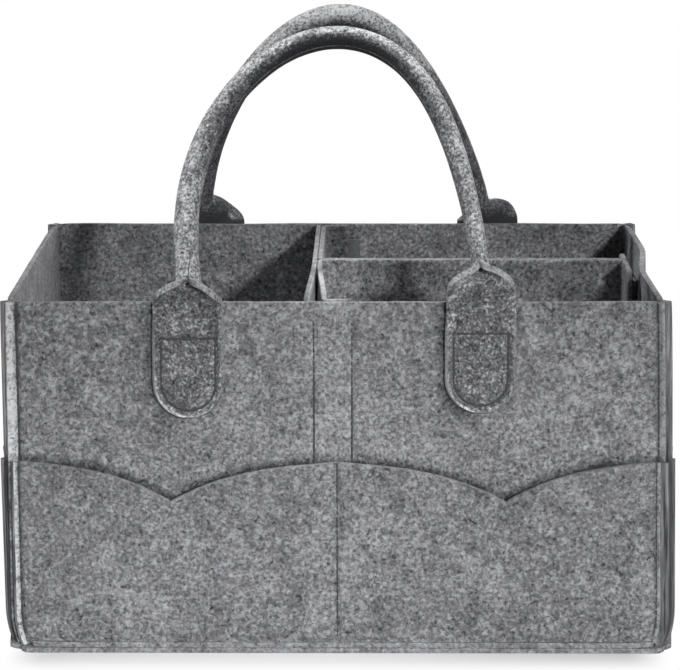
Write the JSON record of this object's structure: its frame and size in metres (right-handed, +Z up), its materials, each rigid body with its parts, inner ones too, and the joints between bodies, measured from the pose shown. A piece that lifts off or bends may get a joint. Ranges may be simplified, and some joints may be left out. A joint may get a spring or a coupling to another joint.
{
  "type": "diaper caddy",
  "caption": "Open felt caddy with scalloped outer pockets, rolled carrying handles and a lift-out T-shaped divider held by hook-and-loop tape.",
  "frame": {"origin": "on the underside of the base, under the middle of the box", "axes": "+Z up; front wall toward -Y; +X to the right as seen from the front, along the long side"},
  "size_m": [0.3368, 0.2348, 0.3122],
  "materials": {
    "felt": "heathered grey felt, matte and fuzzy",
    "handle_felt": "the same felt, rolled and sewn",
    "divider_felt": "heathered grey felt, slightly thinner",
    "tape": "woven nylon hook-and-loop tape",
    "thread": "grey polyester sewing thread",
    "rope": "laid cotton rope"
  },
  "bodies": {
    "shell": {"base_panel": "felt", "front_panel": "felt", "back_panel": "felt", "left_panel": "felt", "right_panel": "felt", "front_pocket": "felt", "back_pocket": "felt", "left_pocket": "felt", "right_pocket": "felt", "front_pocket_seam": "thread", "back_pocket_seam": "thread", "front_loop_tape": "tape", "back_loop_tape": "tape", "right_loop_tape": "tape", "front_tape_left_seam": "thread", "front_tape_right_seam": "thread", "back_tape_left_seam": "thread", "back_tape_right_seam": "thread", "right_tape_front_seam": "thread", "right_tape_back_seam": "thread", "front_handle_left_tab": "felt", "front_handle_right_tab": "felt", "back_handle_left_tab": "felt", "back_handle_right_tab": "felt", "front_handle_left_stitching": "thread", "front_handle_right_stitching": "thread", "back_handle_left_stitching": "thread", "back_handle_right_stitching": "thread"},
    "front_handle": {"front_handle_sleeve": "handle_felt", "front_handle_core": "rope", "front_handle_left_neck": "handle_felt", "front_handle_right_neck": "handle_felt"},
    "back_handle": {"back_handle_sleeve": "handle_felt", "back_handle_core": "rope", "back_handle_left_neck": "handle_felt", "back_handle_right_neck": "handle_felt"},
    "divider": {"divider_straight_strip": "divider_felt", "divider_front_strip": "divider_felt", "divider_back_strip": "divider_felt", "divider_front_hook_tape": "tape", "divider_back_hook_tape": "tape", "divider_right_front_hook_tape": "tape", "divider_right_back_hook_tape": "tape"}
  },
  "joints": [
    {"name": "front_handle_fold", "type": "hinge", "parent": "shell", "child": "front_handle", "pos_m": [0, -0.1128, 0.187], "axis": [-1, 0, 0], "range_deg": [-124, 24], "deforming": ["front_handle_left_neck", "front_handle_right_neck"]},
    {"name": "back_handle_fold", "type": "hinge", "parent": "shell", "child": "back_handle", "pos_m": [0, 0.1128, 0.187], "axis": [1, 0, 0], "range_deg": [-124, 24], "deforming": ["back_handle_left_neck", "back_handle_right_neck"]},
    {"name": "divider_lift", "type": "slide", "parent": "shell", "child": "divider", "axis": [0, 0, 1], "range_m": [0, 0.075]}
  ]
}
